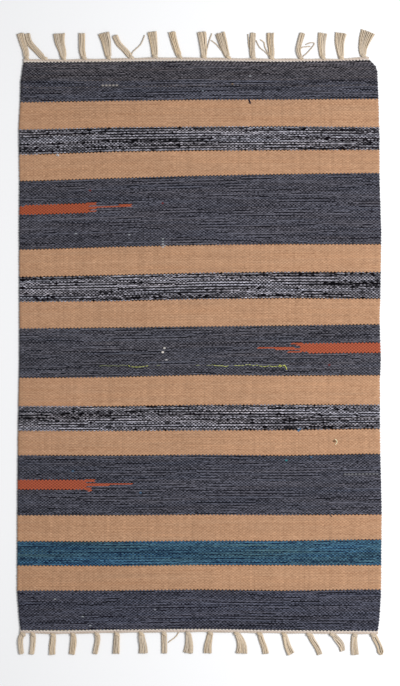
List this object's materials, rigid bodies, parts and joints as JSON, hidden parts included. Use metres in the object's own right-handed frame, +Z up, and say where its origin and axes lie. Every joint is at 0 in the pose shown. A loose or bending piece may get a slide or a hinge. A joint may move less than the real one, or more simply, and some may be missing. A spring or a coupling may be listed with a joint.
{
  "type": "striped kilim rug with knotted fringes",
  "caption": "Flat-woven striped cotton rug, lying flat, with a twined heading and knotted tassels along each short end.",
  "frame": {"origin": "middle of the rug's footprint, fringes included, at the surface it lies on", "axes": "+Y along the rug's length towards its far end, +X across its width, +Z up"},
  "size_m": [0.6058, 1.0356, 0.0054],
  "materials": {
    "woven_cotton": "matte flat weave, mostly faded navy",
    "navy_weft": "matte, faded navy cotton weft with paler flecks",
    "tan_weft": "matte, plain tan cotton weft",
    "melange_weft": "matte, black and white yarns twisted together",
    "teal_weft": "matte, teal blue cotton weft",
    "cotton_fringe": "matte, undyed cotton warp ends"
  },
  "bodies": {
    "root": {"woven_cloth": "woven_cotton", "far_fringe": "cotton_fringe", "near_fringe": "cotton_fringe"}
  },
  "joints": []
}
